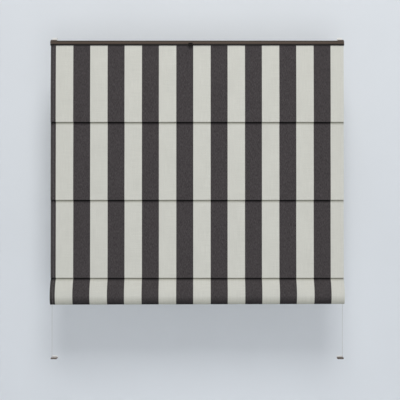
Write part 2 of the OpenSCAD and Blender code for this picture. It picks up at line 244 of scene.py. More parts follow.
class BlindFinish(PropertyGroup):
    """Colours of the fittings"""

    brown: a_colour("Brown", "Coat of the rails, caps and shoes", (0.070, 0.050, 0.0375))
    white: a_colour("White", "Hooks, rods and clips", (0.80, 0.80, 0.785))
    black: a_colour("Grip", "Finger grips", (0.010, 0.008, 0.007))
    rubber: a_colour("Rubber", "Cord brakes", (0.02, 0.02, 0.02))
    cord: a_colour("Cord", "Guide cords", (0.47, 0.46, 0.44))
    zinc: a_colour("Zinc", "Screws and ferrules", (0.52, 0.53, 0.54))
    tape: a_colour("Tape", "Rod pocket tapes", (0.64, 0.635, 0.60))


class BlindStage(PropertyGroup):
    """Camera, lamps and backdrop"""

    distance: a_length("Distance", "From the camera to the cloth", 3.0)
    camera_x: a_length("Camera X", "Place of the camera", 0.0114)
    camera_z: a_length("Camera Z", "Height of the camera", -0.6655)
    frame_width: a_length("Frame width", "Width of the picture at the cloth", 1.6316)
    wall_colour: a_colour("Wall", "Colour of the backdrop", (0.70, 0.73, 0.765))
    key_power: a_number("Key", "Power of the key lamp in watts", 128.0)
    fill_power: a_number("Fill", "Power of the fill lamp in watts", 23.0)
    rear_power: a_number("Rear", "Power of the lamp behind the wall in watts", 75.0)
    world_strength: a_number("World", "Strength of the even light", 0.40)


# Routes, as lists of (depth, height, looseness) in metres


def arc_route(y, z, radius, start, end, steps):
    """Points on an arc in the plane across the blind, angles in degrees."""
    points = []
    for k in range(steps + 1):
        a = math.radians(start + (end - start) * k / steps)
        points.append((y + radius * math.cos(a), z + radius * math.sin(a), 0.0))
    return points


def curve_route(a, b, c, d, steps, loose_start, loose_end):
    """Points on a curve from a to d, drawn towards b and c, without its first point."""
    points = []
    for k in range(1, steps + 1):
        t = k / steps
        s = 1 - t
        y, z = (s**3 * a[i] + 3 * s * s * t * b[i] + 3 * s * t * t * c[i] + t**3 * d[i] for i in (0, 1))
        points.append((y, z, loose_start + (loose_end - loose_start) * t))
    return points


def lip_depth(thickness):
    """Depth of the cloth's middle at a panel's lower edge."""
    return RAIL_LOW.y + thickness / 2 - LIP_SET


def slot_depth(thickness):
    """Depth of the cloth's middle in the slot of a rail."""
    return TOP_SPLINE.y - SPLINE_R - FIT - thickness / 2


def panel_route(y0, z0, z1, lip_y):
    """One panel from its top to just above its lower edge."""
    points = []
    for k in range(PANEL_STEPS + 1):
        s = k / PANEL_STEPS
        y = y0 + (lip_y - y0) * (s + BELLY * math.sin(math.pi * s))
        points.append((y, z0 + (z1 - z0) * s, math.sin(math.pi * s)))
    return points


def tuck_route(z, thickness):
    """Turn at a panel's lower edge and the rise behind it."""
    lip_y = lip_depth(thickness)
    turn_r = (LAP - 2 * LIP_R) / 2
    back_y = lip_y + 2 * LIP_R
    turn = arc_route(lip_y + LIP_R, z + LIP_R + thickness / 2, LIP_R, 180, 360, TUCK_STEPS)
    return turn + arc_route(back_y + turn_r, z + TUCK_H, turn_r, 180, 0, TUCK_STEPS)


def hem_route(spline, thickness, start, end):
    """The hem around a spline in its groove."""
    return arc_route(spline.y, spline.z, SPLINE_R + FIT + thickness / 2, start, end, HEM_STEPS)


def panel_routes(thickness):
    """The three flat panels, from the top one down."""
    lip_y = lip_depth(thickness)
    rise = LIP_R + thickness / 2 + LIP_LEAD
    tops = [(slot_depth(thickness), RAIL_LOW.z - SLOT_DROP)]
    tops += [(lip_y + LAP, crease + TUCK_H - TOP_LEAD) for crease in CREASES[:2]]
    return [panel_route(y, z, crease + rise, lip_y) for (y, z), crease in zip(tops, CREASES)]


def panels_route(thickness):
    """From the top rail's groove to the level of the third lower edge, behind it."""
    route = hem_route(TOP_SPLINE, thickness, HEM_TURN, 180)
    for panel, crease in zip(panel_routes(thickness), CREASES):
        route += panel + tuck_route(crease, thickness)
    route.append((lip_depth(thickness) + LAP, CREASES[2], 0.0))
    return route


def fold_route(thickness):
    """The last fold, from behind the third lower edge round to the bottom rail's groove."""
    z = CREASES[2]
    next_y = lip_depth(thickness) + LAP
    front_y = lip_depth(thickness) - FOLD_OUT
    slot_y = slot_depth(thickness)
    low_y, low_z = (front_y + slot_y) / 2, z - FOLD_DROP + thickness / 2
    front_z, back_z = z - FRONT_AT * FOLD_DROP, z - BACK_AT * FOLD_DROP
    start, front = (next_y, z - FOLD_LEAD), (front_y, front_z)
    low, back = (low_y, low_z), (slot_y, back_z)
    neck = (next_y - NECK_OUT * FOLD_OUT, z - NECK_DROP * FOLD_DROP)
    swell = (front_y, front_z + FRONT_SWELL * FOLD_DROP)
    turn = (front_y, front_z - FRONT_TURN * FOLD_DROP)
    rise = (slot_y, back_z - BACK_RISE * FOLD_DROP)
    route = [(next_y, z, 0.0), (*start, 0.0)]
    route += curve_route(start, neck, swell, front, NECK_STEPS, 0.0, LOOSE_FRONT)
    route += curve_route(front, turn, (low_y - LOW_PULL, low_z), low, FOLD_STEPS, LOOSE_FRONT, LOOSE_LOW)
    route += curve_route(low, (low_y + LOW_PULL, low_z), rise, back, FOLD_STEPS, LOOSE_LOW, LOOSE_BACK)
    route.append((slot_y, BOTTOM_LOW.z - SLOT_DROP, 0.0))
    route += hem_route(BOTTOM_SPLINE, thickness, 180, HEM_TURN)
    return route


def gap(a, b):
    """Distance between two points of a route."""
    return math.hypot(b[0] - a[0], b[1] - a[1])


def route_length(route):
    """Length of a route in metres."""
    return sum(gap(a, b) for a, b in zip(route, route[1:]))


def lowest_row(route):
    """Number of the lowest point of a route."""
    return min(range(len(route)), key=lambda k: route[k][1])


def cut(route, low, high):
    """Part of a rising or falling route between two heights, with a point at each of them."""
    points = []
    for a, b in zip(route, route[1:]):
        if low <= a[1] <= high:
            points.append(a)
        ends = [z for z in (low, high) if min(a[1], b[1]) < z < max(a[1], b[1])]
        for z in sorted(ends, reverse=b[1] < a[1]):
            t = (z - a[1]) / (b[1] - a[1])
            points.append(tuple(u + (v - u) * t for u, v in zip(a, b)))
    if low <= route[-1][1] <= high:
        points.append(route[-1])
    return points


def walk(route, pitch):
    """Places at an even pitch along a route: depth, height, looseness and direction."""
    spots, left = [], pitch / 2
    for a, b in zip(route, route[1:]):
        step = gap(a, b)
        heading = Vector((0, b[0] - a[0], b[1] - a[1])) / step
        while left < step:
            spots.append((*(a[i] + (b[i] - a[i]) * left / step for i in range(3)), heading))
            left += pitch
        left -= step
    return spots


def tuck_marks(thickness):
    """Lengths along the cloth where each tuck turns in, and where the next panel comes out below it."""
    route = panels_route(thickness) + fold_route(thickness)[1:]
    marks = []
    for crease in CREASES:
        length, turned, risen = 0.0, None, False
        for a, b in zip(route, route[1:]):
            step = gap(a, b)
            if turned is None and abs(b[1] - crease - thickness / 2) < NEAR_HEIGHT:
                turned = length + step
            risen = risen or (turned is not None and b[1] > crease + TUCK_H)
            if risen and b[1] < crease:
                marks.append((turned, length + step * (a[1] - crease) / (a[1] - b[1])))
                break
            length += step
    return marks


def fold_mark(thickness):
    """Length along the cloth at the lowest point of the last fold."""
    route = fold_route(thickness)
    return route_length(panels_route(thickness)) + route_length(route[: lowest_row(route) + 1])


def route_sides(route):
    """Unit vector across the route at each of its points, stretched at corners to keep the thickness."""
    sides = []
    last = len(route) - 1
    for k in range(last + 1):
        steps = []
        for a, b in ((max(k - 1, 0), max(k, 1)), (min(k, last - 1), min(k + 1, last))):
            dy, dz = route[b][0] - route[a][0], route[b][1] - route[a][1]
            size = math.hypot(dy, dz)
            steps.append((-dz / size, dy / size))
        my, mz = steps[0][0] + steps[1][0], steps[0][1] + steps[1][1]
        square = my * my + mz * mz
        sides.append((2 * my / square, 2 * mz / square))
    return sides


def drift(x, z, size, seed):
    """Smooth random value from about -1 to 1, the same in each run."""
    return noise.noise(Vector((x / size, z / size, seed)))


# Meshes


def new_object(name, data):
    """Object of some data, in the scene."""
    thing = bpy.data.objects.new(name, data)
    bpy.context.scene.collection.objects.link(thing)
    return thing


def new_piece(name, vertices, faces, uvs=None, sharp=SHARP):
    """Object from lists of points and faces, smooth apart from its sharp edges."""
    mesh = bpy.data.meshes.new(name)
    mesh.from_pydata(vertices, [], faces)
    mesh.polygons.foreach_set("use_smooth", [True] * len(mesh.polygons))
    if uvs:
        layer = mesh.uv_layers.new(name="cloth")
        for loop in mesh.loops:
            layer.data[loop.index].uv = uvs[loop.vertex_index]
    mesh.set_sharp_from_angle(angle=math.radians(sharp))
    mesh.validate()
    mesh.update()
    return new_object(name, mesh)


def shell(name, route, xs, thickness, stray, keep=None, start=0.0):
    """Sheet along a route, at the places xs, as a closed shell.
    keep(x, row) leaves a cell out where it is false. start is the length of cloth before the route."""
    sides = route_sides(route)
    lengths = [start]
    for a, b in zip(route, route[1:]):
        lengths.append(lengths[-1] + gap(a, b))
    rows, columns = len(route), len(xs)
    cells = set()
    for i in range(columns - 1):
        x = (xs[i] + xs[i + 1]) / 2
        for j in range(rows - 1):
            if keep is None or (keep(x, j) and keep(x, j + 1)):
                cells.add((i, j))
    index, vertices, uvs = {}, [], []

    def corner(i, j, face):
        key = (i, j, face)
        if key not in index:
            y, z, loose = route[j]
            dx, dy, dz = stray(xs[i], y, z, loose)
            reach = thickness / 2 * (1 if face else -1)
            index[key] = len(vertices)
            vertices.append((xs[i] + dx, y + dy + sides[j][0] * reach, z + dz + sides[j][1] * reach))
            uvs.append((xs[i], lengths[j]))
        return index[key]

    faces = []
    for i, j in sorted(cells):
        around = ((i, j), (i, j + 1), (i + 1, j + 1), (i + 1, j))
        faces.append([corner(*spot, 0) for spot in around])
        faces.append([corner(*spot, 1) for spot in reversed(around)])
        for k, beside in ((0, (i - 1, j)), (2, (i + 1, j)), (3, (i, j - 1)), (1, (i, j + 1))):
            if beside not in cells:
                a, b = around[k], around[(k + 1) % len(around)]
                faces.append([corner(*b, 0), corner(*a, 0), corner(*a, 1), corner(*b, 1)])
    return new_piece(name, vertices, faces, uvs)


def places(half, columns, *marks):
    """Even places across the blind from -half to half, with extra ones at the marks."""
    even = [-half + 2 * half * k / columns for k in range(columns + 1)]
    near = 2 * half / columns * NEAR_COLUMN
    extra = [s * m for m in marks for s in (-1, 1)]
    return sorted([x for x in even if all(abs(x - m) > near for m in extra)] + extra)


def stitch_row(spots, length, radius):
    """Points and faces of a row of stitches, which dip into the cloth at both ends.
    A spot is a place, the direction along the row and the direction out of the cloth."""
    vertices, faces = [], []
    ring, last = STITCH_RING, len(STATIONS) - 1
    for spot, along, out in spots:
        first = len(vertices)
        across = along.cross(out)
        for place, lift, share in STATIONS:
            for k in range(ring):
                a = 2 * math.pi * k / ring
                step = across * math.cos(a) + out * math.sin(a)
                vertices.append(spot + along * length * place + out * radius * lift + step * radius * share)
        for s in range(last):
            for k in range(ring):
                a, b = first + s * ring + k, first + s * ring + (k + 1) % ring
                faces.append((a, b, b + ring, a + ring))
        faces.append(tuple(first + k for k in reversed(range(ring))))
        faces.append(tuple(first + last * ring + k for k in range(ring)))
    return vertices, faces


# Shader node groups

# Layout of the nodes, and the places of the colour sockets on a Mix node
NODE_GAP, NODE_ROW = (180, -240), 12
MIX_SHARE, MIX_A, MIX_B, MIX_RESULT = 0, 6, 7, 2

# Weave: noise scales across and along a yarn, tones, rise of a thick yarn, painted shade in the gaps
# between threads, flecks and fuzz
YARN_ACROSS, YARN_ALONG = 900.0, 14.0
CLOUD_SCALE, CLOUD_DETAIL = 9.0, 3.0
YARN_TONE, CLOUD_TONE, YARN_RISE = 0.22, 0.10, 0.8
GAP_SHADE = (0.0, 0.7, 0.90, 1.02)
FLECK_STEP, FLECK_RATE, FLECK_TONE = 3.7, 110.0, (0.2, 0.8, -1.0, 1.0)
FUZZ_SCALE, FUZZ = 2600.0, (0.3, 0.7, 0.82, 0.98)

# Stripes: how their edges waver and how soft they are
STRIPE_WAVER, WAVER_SCALE, STRIPE_SOFT = 0.8 * MM, (20.0, 700.0, 1.0), 0.3 * MM

# Tucks: lengths before the turn between which the shade sets in
TUCK_FROM, TUCK_TO = 1.8 * MM, 0.4 * MM

# Coats: grain, clouds, and the share of both in tone and gloss
GRAIN_DETAIL, GRAIN_ROUGHNESS = 3.0, 0.6
COAT_CLOUD, COAT_DETAIL = 14.0, 3.0
TONE_CLOUD, TONE_GRAIN, GLOSS_CLOUD, GLOSS_GRAIN = 0.14, 0.16, 0.18, 0.12

# Rails: heights in the section from its top, and the painted shade at the upper edge and in the band
RAIL_EDGE, RAIL_FACE, BAND_SOFT = 5 * MM, 14 * MM, 1 * MM
EDGE_SHADE, BAND_SHADE = 0.2, 0.08

# Rubs and dust: scale, detail and range of the noise
STREAK_SCALE, STREAK_DETAIL, STREAK = (30.0, 900.0, 900.0), 3.0, (0.6, 0.8)
SPECK_SCALE, SPECK_DETAIL, SPECK = 700.0, 1.0, (0.68, 0.78)
PATCH_SCALE, PATCH_DETAIL, PATCH = 22.0, 2.0, (0.45, 0.7)


class Wiring:
    """Short way to place nodes and link them in one node tree."""

    def __init__(self, tree):
        self.tree = tree
        self.count = 0

    def add(self, kind, **settings):
        node = self.tree.nodes.new("ShaderNode" + kind)
        self.count += 1
        node.location = (NODE_GAP[0] * (self.count % NODE_ROW), NODE_GAP[1] * (self.count // NODE_ROW))
        for key, value in settings.items():
            setattr(node, key, value)
        return node

    def feed(self, inputs, values):
        """Links or sets sockets, by number or by name."""
        for key, value in values.items():
            if isinstance(value, bpy.types.NodeSocket):
                self.tree.links.new(value, inputs[key])
            else:
                inputs[key].default_value = value

    def fill(self, kind, values, **settings):
        """Adds a node with values on its sockets."""
        node = self.add(kind, **settings)
        self.feed(node.inputs, values)
        return node.outputs

    def calc(self, operation, *values):
        return self.fill("Math", dict(enumerate(values)), operation=operation)[0]

    plus = partialmethod(calc, "ADD")
    minus = partialmethod(calc, "SUBTRACT")
    times = partialmethod(calc, "MULTIPLY")

    def stretch(self, vector, by):
        return self.fill("VectorMath", {0: vector, 1: by}, operation="MULTIPLY")[0]

    def scale(self, colour, by):
        return self.fill("VectorMath", {0: colour, "Scale": by}, operation="SCALE")[0]

    def split(self, vector):
        return self.fill("SeparateXYZ", {0: vector})

    def join(self, x, y):
        return self.fill("CombineXYZ", {0: x, 1: y})[0]

    def noise(self, vector, scale=1.0, detail=2.0, roughness=0.5):
        values = {"Vector": vector, "Scale": scale, "Detail": detail, "Roughness": roughness}
        return self.fill("TexNoise", values)[0]

    def ramp(self, value, low, high, to_low=0.0, to_high=1.0, kind="SMOOTHSTEP"):
        values = {"Value": value, "From Min": low, "From Max": high, "To Min": to_low, "To Max": to_high}
        return self.fill("MapRange", values, interpolation_type=kind)[0]

    def mix(self, share, a, b):
        a, b = ((*value, 1.0) if isinstance(value, tuple) else value for value in (a, b))
        values = {MIX_SHARE: share, MIX_A: a, MIX_B: b}
        return self.fill("Mix", values, data_type="RGBA")[MIX_RESULT]

    def bump(self, height, distance, strength):
        return self.fill("Bump", {"Strength": strength, "Distance": distance, "Height": height})[0]

    def place(self, build, **values):
        """Node of the group that a function builds, at its first use, under its own name."""
        name = build.__name__
        if name not in bpy.data.node_groups:
            build(name)
        return self.fill("Group", values, node_tree=bpy.data.node_groups[name])


def open_group(name, inputs, outputs):
    """New node group with a vector and numbers as inputs: its wiring, what enters and what leaves."""
    group = bpy.data.node_groups.new(name, "ShaderNodeTree")
    sockets = [("Vector", "INPUT", "NodeSocketVector")]
    sockets += [(label, "INPUT", "NodeSocketFloat") for label in inputs]
    sockets += [(label, "OUTPUT", "NodeSocketFloat") for label in outputs]
    for label, way, kind in sockets:
        group.interface.new_socket(name=label, in_out=way, socket_type=kind)
    enter, leave = (group.nodes.new(kind) for kind in ("NodeGroupInput", "NodeGroupOutput"))
    return Wiring(group), enter.outputs, leave.inputs


def plain_weave(name):
    """Plain weave: threads over and under, with thicker and thinner runs of yarn and a painted shade in the
    gaps between threads.
    """
    w, enter, leave = open_group(name, ("Pitch", "Slub"), ("Height", "Shade", "Fuzz", "Fleck"))
    vector = enter["Vector"]
    parts = w.split(vector)
    warp, weft = (w.calc("DIVIDE", parts[i], enter["Pitch"]) for i in (0, 1))
    over_warp, over_weft = (w.calc("ABSOLUTE", w.calc("SINE", w.times(n, math.pi))) for n in (warp, weft))
    parity = w.calc("PINGPONG", w.plus(w.calc("FLOOR", warp), w.calc("FLOOR", weft)), 1.0)
    under = w.times(over_weft, w.minus(1.0, parity))
    height = w.plus(w.times(over_warp, parity), under)
    stretches = ((YARN_ACROSS, YARN_ALONG, 1.0), (YARN_ALONG, YARN_ACROSS, 1.0))
    yarns = [w.noise(w.stretch(vector, stretch)) for stretch in stretches]
    yarn = w.minus(w.plus(*yarns), 1.0)
    cloud = w.minus(w.noise(vector, CLOUD_SCALE, CLOUD_DETAIL), 0.5)
    varied = w.plus(w.times(yarn, YARN_TONE), w.times(cloud, CLOUD_TONE))
    shade = w.plus(1.0, w.times(varied, enter["Slub"]))
    thread = w.join(w.times(w.calc("FLOOR", warp), FLECK_STEP), w.times(parts[1], FLECK_RATE))
    # Shade is the yarn's own random tone times the painted shade in the gaps between threads
    values = {
        "Height": w.plus(height, w.times(yarn, YARN_RISE)),
        "Shade": w.times(shade, w.ramp(height, *GAP_SHADE)),
        "Fuzz": w.ramp(w.noise(vector, FUZZ_SCALE), *FUZZ),
        "Fleck": w.ramp(w.noise(thread, detail=1.0), *FLECK_TONE, kind="LINEAR"),
    }
    w.feed(leave, values)


def stripe_field(name):
    """Mask that is 1 on the dark stripes, with woven edges."""
    w, enter, leave = open_group(name, ("Dark", "Light", "Start"), ("Mask",))
    waver = w.noise(w.stretch(enter["Vector"], WAVER_SCALE))
    aside = w.times(w.minus(waver, 0.5), STRIPE_WAVER)
    x = w.plus(w.split(enter["Vector"])[0], aside)
    repeat = w.plus(enter["Dark"], enter["Light"])
    half = w.times(enter["Dark"], 0.5)
    along = w.calc("WRAP", w.minus(x, enter["Start"]), repeat, 0.0)
    inside = w.minus(half, w.calc("ABSOLUTE", w.minus(along, half)))
    near = w.calc("MAXIMUM", inside, w.minus(along, repeat))
    w.feed(leave, {"Mask": w.ramp(near, -STRIPE_SOFT, STRIPE_SOFT)})


def tuck_shade(name):
    """Mask of a tuck's shade: full from where the cloth turns in to where it comes out, then fading."""
    w, enter, leave = open_group(name, ("Turn", "Out", "Fade"), ("Mask",))
    along = w.split(enter["Vector"])[1]
    ends = (w.minus(enter["Turn"], before) for before in (TUCK_FROM, TUCK_TO))
    inside = w.ramp(along, *ends)
    left = w.ramp(w.minus(along, enter["Out"]), 0.0, enter["Fade"], 1.0, 0.0)
    w.feed(leave, {"Mask": w.times(inside, left)})


def fine_grain(name):
    """Fine grain of a coat or moulding, with soft clouds of tone and gloss."""
    w, enter, leave = open_group(name, ("Scale",), ("Height", "Tone", "Gloss"))
    fine = w.noise(enter["Vector"], enter["Scale"], GRAIN_DETAIL, GRAIN_ROUGHNESS)
    cloud = w.noise(enter["Vector"], COAT_CLOUD, COAT_DETAIL)
    grain, lean = (w.minus(value, 0.5) for value in (fine, cloud))
    tone = w.plus(w.times(lean, TONE_CLOUD), w.times(grain, TONE_GRAIN))
    gloss = w.plus(w.times(lean, GLOSS_CLOUD), w.times(grain, GLOSS_GRAIN))
    w.feed(leave, {"Height": fine, "Tone": w.plus(1.0, tone), "Gloss": gloss})


def rail_shade(name):
    """Painted shade over the height of a rail: darker at its upper edge and in the band below its face."""
    w, enter, leave = open_group(name, ("Top",), ("Tone",))
    down = w.minus(enter["Top"], w.split(enter["Vector"])[2])
    edge = w.ramp(down, RAIL_EDGE / 2, RAIL_EDGE, EDGE_SHADE, 1.0)
    band = w.ramp(down, RAIL_FACE - BAND_SOFT, RAIL_FACE, 1.0, BAND_SHADE)
    w.feed(leave, {"Tone": w.times(edge, band)})


def rubs_and_dust(name):
    """Mask of light rubs and dust, in streaks along the rail and in small specks."""
    w, enter, leave = open_group(name, ("Amount",), ("Mask",))
    vector = enter["Vector"]
    long = w.noise(w.stretch(vector, STREAK_SCALE), detail=STREAK_DETAIL)
    streak = w.ramp(long, *STREAK)
    speck = w.ramp(w.noise(vector, SPECK_SCALE, SPECK_DETAIL), *SPECK)
    patch = w.ramp(w.noise(vector, PATCH_SCALE, PATCH_DETAIL), *PATCH)
    w.feed(leave, {"Mask": w.times(w.times(w.calc("MAXIMUM", streak, speck), patch), enter["Amount"])})


# Materials

# Shader sockets of the cloth and of tape or thread, and the depth and strength of their bump
CLOTH_SHADER = {"Sheen Weight": 0.03, "Sheen Roughness": 0.6, "Specular IOR Level": 0.12}
CLOTH_BUMP, CLOTH_BUMP_STRENGTH = 0.25 * MM, 0.55
YARN_SHADER = {"Sheen Weight": 0.08, "Specular IOR Level": 0.25}
YARN_BUMP, YARN_BUMP_STRENGTH = 0.15 * MM, 0.5
CLOTH_SLUB, YARN_SLUB = 1.0, 0.6

# Coats of the fittings: slot, name, colour in the settings, then as in coat_material
COATS = (
    ("brown_plastic", "brown_moulding", "brown", (0.5, 2200.0, 0.06 * MM, 0.2)),
    ("white_steel", "white_powder_coat", "white", (0.38, 1400.0, 0.08 * MM, 0.2)),
    ("screw_steel", "zinc_plate", "zinc", (0.3, 2600.0, 0.03 * MM, 0.3, 0.5, 1.0)),
    ("rubber", "brake_rubber", "rubber", (0.85, 1800.0, 0.1 * MM, 0.4)),
    ("grip_plastic", "polished_grip", "black", (0.35, 2600.0, 0.02 * MM, 0.1, 0.05)),
    ("white_plastic", "white_moulding", "white", (0.45, 2200.0, 0.05 * MM, 0.15)),
)
RAIL_COAT = (0.45, 1400.0, 0.08 * MM, 0.25, 0.22)
CAP_COAT = (0.5, 2200.0, 0.06 * MM, 0.2, 0.22)
COAT_BUMP_STRENGTH = 0.4
# A rubbed spot: how much paler and how much rougher it is than the coat
RUB_GAIN, RUB_LIFT, RUB_ROUGHNESS = 1.6, 0.05, 0.2


def new_material(name):
    """Material with its wiring and its Principled BSDF."""
    material = bpy.data.materials.new(name)
    material.use_nodes = True
    tree = material.node_tree
    return material, Wiring(tree), tree.nodes["Principled BSDF"]


def cloth_material(cloth):
    """Striped plain weave, darker in the tucks and towards the lowest line of the last fold."""
    name = "striped_weave"
    if name in bpy.data.materials:
        return bpy.data.materials[name]
    material, w, shader = new_material(name)
    where = w.add("UVMap", uv_map="cloth").outputs[0]
    weave = w.place(plain_weave, Vector=where, Pitch=cloth.thread_pitch, Slub=CLOTH_SLUB)
    sizes = {"Dark": cloth.dark_width, "Light": cloth.light_width, "Start": cloth.stripe_start}
    stripes = w.place(stripe_field, Vector=where, **sizes)["Mask"]
    striped = w.mix(stripes, tuple(cloth.light_colour), tuple(cloth.dark_colour))
    mottle = w.plus(1.0, w.times(weave["Fleck"], w.times(stripes, cloth.heather)))
    colour = w.scale(striped, w.times(weave["Shade"], mottle))
    deep = w.scale(w.stretch(colour, colour), cloth.tuck_depth)
    from_low = w.calc("ABSOLUTE", w.minus(w.split(where)[1], fold_mark(cloth.thickness)))
    shade = w.ramp(from_low, 0.0, cloth.under_fade, cloth.under_shade, 0.0, kind="LINEAR")
    fades = (cloth.tuck_fade, cloth.tuck_fade, cloth.last_fade)
    for (turn, out), fade in zip(tuck_marks(cloth.thickness), fades):
        tuck = w.place(tuck_shade, Vector=where, Turn=turn, Out=out, Fade=fade)
        shade = w.calc("MAXIMUM", shade, tuck["Mask"])
    normal = w.bump(weave["Height"], CLOTH_BUMP, CLOTH_BUMP_STRENGTH)
    values = {"Base Color": w.mix(shade, colour, deep), "Roughness": weave["Fuzz"], "Normal": normal}
    w.feed(shader.inputs, values | CLOTH_SHADER)
    return material


def woven_material(name, colour, pitch):
    """Plain woven tape or thread in one colour."""
    if name in bpy.data.materials:
        return bpy.data.materials[name]
    material, w, shader = new_material(name)
    parts = w.split(w.add("TexCoord").outputs["Object"])
    turned = w.join(parts[0], w.plus(parts[2], parts[1]))
    weave = w.place(plain_weave, Vector=turned, Pitch=pitch, Slub=YARN_SLUB)
    tint = w.scale(tuple(colour), weave["Shade"])
    normal = w.bump(weave["Height"], YARN_BUMP, YARN_BUMP_STRENGTH)
    values = {"Base Color": tint, "Roughness": weave["Fuzz"], "Normal": normal}
    w.feed(shader.inputs, values | YARN_SHADER)
    return material


def coat_material(name, colour, roughness, grain, depth, rubs, specular=0.5, metal=0.0, top=None):
    """Painted, moulded or bare metal finish with grain of a scale and depth, and an amount of rubs.
    With top, the height of a rail, its upper edge and the band below its face are darker: a painted shade."""
    material, w, shader = new_material(name)
    where = w.add("TexCoord").outputs["Object"]
    coat = w.place(fine_grain, Vector=where, Scale=grain)
    rub = w.place(rubs_and_dust, Vector=where, Amount=rubs)["Mask"]
    tone = coat["Tone"]
    if top is not None:
        tone = w.times(tone, w.place(rail_shade, Vector=where, Top=top)["Tone"])
    pale = tuple(min(1.0, c * RUB_GAIN + RUB_LIFT) for c in colour)
    rough = w.plus(roughness, coat["Gloss"])
    values = {
        "Base Color": w.mix(rub, w.scale(tuple(colour), tone), pale),
        "Roughness": w.plus(rough, w.times(rub, RUB_ROUGHNESS)),
        "Normal": w.bump(coat["Height"], depth, COAT_BUMP_STRENGTH),
        "Metallic": metal,
        "Specular IOR Level": specular,
    }
    w.feed(shader.inputs, values)
    return material


def dress(piece, material):
    """Gives a piece one material."""
    piece.data.materials.clear()
    piece.data.materials.append(material)


# Operators


class BLIND_OT_stage(Operator):
    """Sets the camera, the lamps, the pale wall and the floor"""

    bl_idname = "blind.stage"
    bl_label = "Stage"

    def execute(self, context):
        scene = context.scene
        look = scene.blind_stage
        scene.view_settings.view_transform = "Standard"
        eye = bpy.data.cameras.new("camera")
        eye.sensor_fit = "HORIZONTAL"
        eye.angle = 2 * math.atan(look.frame_width / 2 / look.distance)
        camera = new_object("camera", eye)
        camera.location = (look.camera_x, RAIL_LOW.y - look.distance, look.camera_z)
        camera.rotation_euler = (math.pi / 2, 0, 0)
        scene.camera = camera
        for name, (place, size) in LAMPS.items():
            self.lamp(name, place, getattr(look, f"{name}_power"), size)
        self.surround(scene, look)
        self.wall(look)
        self.floor(look)
        return {"FINISHED"}

    def lamp(self, name, place, power, size):
        data = bpy.data.lights.new(name, "AREA")
        data.energy = power
        data.shape = "SQUARE"
        data.size = size
        lamp = new_object(name, data)
        lamp.location = place
        aim = Vector((0, 0, (CAD_BOX[0][2] + CAD_BOX[1][2]) / 2)) - Vector(place)
        lamp.rotation_euler = aim.to_track_quat("-Z", "Y").to_euler()

    def surround(self, scene, look):
        """Even white light, brighter where it is seen."""
        world = bpy.data.worlds.new("even_light")
        world.use_nodes = True
        w = Wiring(world.node_tree)
        back = world.node_tree.nodes["Background"]
        path = w.add("LightPath").outputs
        seen = w.calc("MAXIMUM", path["Is Glossy Ray"], path["Is Transmission Ray"])
        seen = w.calc("MAXIMUM", path["Is Camera Ray"], seen)
        strength = w.ramp(seen, 0.0, 1.0, look.world_strength, SEEN_WORLD, kind="LINEAR")
        w.feed(back.inputs, {"Strength": strength, "Color": (1.0, 1.0, 1.0, 1.0)})
        scene.world = world

    def pale_material(self, name, colour):
        material, w, shader = new_material(name)
        where = w.add("TexCoord").outputs["Object"]
        tone = w.ramp(w.noise(where, PALE_SCALE), *PALE_TONE)
        w.feed(shader.inputs, {"Base Color": w.scale(tuple(colour), tone), "Roughness": PALE_ROUGHNESS})
        return material, w, shader

    def wall(self, look):
        """Backdrop behind the blind, open to an eye and to a lamp behind it."""
        corners = [(WALL_HALF * a, WALL_Y, FLOOR_Z if b < 0 else WALL_TOP) for a, b in CORNERS]
        wall = new_piece("wall", corners, [(0, 1, 2, 3)])
        material, w, shader = self.pale_material("pale_wall", look.wall_colour)
        behind = w.add("NewGeometry").outputs["Backfacing"]
        shadow = w.add("LightPath").outputs["Is Shadow Ray"]
        clear = w.add("BsdfTransparent").outputs[0]
        share = w.calc("MAXIMUM", behind, shadow)
        both = w.fill("MixShader", {0: share, 1: shader.outputs[0], 2: clear})[0]
        w.feed(material.node_tree.nodes["Material Output"].inputs, {"Surface": both})
        dress(wall, material)

    def floor(self, look):
        corners = [(FLOOR_HALF * a, FLOOR_HALF * b, FLOOR_Z) for a, b in CORNERS]
        floor = new_piece("floor", corners, [(0, 1, 2, 3)])
        dress(floor, self.pale_material("pale_floor", look.wall_colour)[0])


class BLIND_OT_cords(Operator):
    """Twists the two guide cords from their strands"""

    bl_idname = "blind.cords"
    bl_label = "Guide cords"

    def execute(self, context):
        finish = context.scene.blind_finish
        for side in ("left", "right"):
            node = f"guide_cord_{side}"
            low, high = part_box(node)
            piece, path = self.strands(f"cord_{side}", low, high)
            dress(piece, woven_material("cord_yarn", finish.cord, CORD_PITCH))
            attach(piece, FIXINGS)
            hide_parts(node)
        return {"FINISHED"}

    def strands(self, name, low, high):
        """Tube with a twisted section of strands in a box, and the points of its path."""
        x, y, radius = (low.x + high.x) / 2, (low.y + high.y) / 2, (high.x - low.x) / 2
        top, drop = high.z, low.z - high.z
        rows, ring = round(-drop / CORD_ROW), CORD_RING
        vertices, faces = [], []
        for r in range(rows + 1):
            z = top + drop * r / rows
            turn = 2 * math.pi * (top - z) / CORD_TWIST
            for k in range(ring):
                a = 2 * math.pi * k / ring
                part = 1 - abs(math.sin(CORD_STRANDS / 2 * (a - turn)))
                reach = radius * (1 - STRAND_DEPTH * part)
                vertices.append((x + reach * math.cos(a), y + reach * math.sin(a), z))
        for r in range(rows):
            for k in range(ring):
                a, b = r * ring + k, r * ring + (k + 1) % ring
                faces.append((a, a + ring, b + ring, b))
        faces.append(tuple(range(ring)))
        faces.append(tuple(rows * ring + k for k in reversed(range(ring))))
        path = [(x, y, top + drop * k / CORD_POINTS) for k in range(CORD_POINTS + 1)]
        return new_piece(name, vertices, faces, sharp=CORD_SHARP), path


def sewn_thread(name, cloth, spots):
    """Piece with a row of stitches at the spots."""
    piece = new_piece(name, *stitch_row(spots, STITCH_SHARE * cloth.stitch_pitch, THREAD_R))
    dress(piece, woven_material("sewing_thread", THREAD_COLOUR, THREAD_PITCH))
    return piece


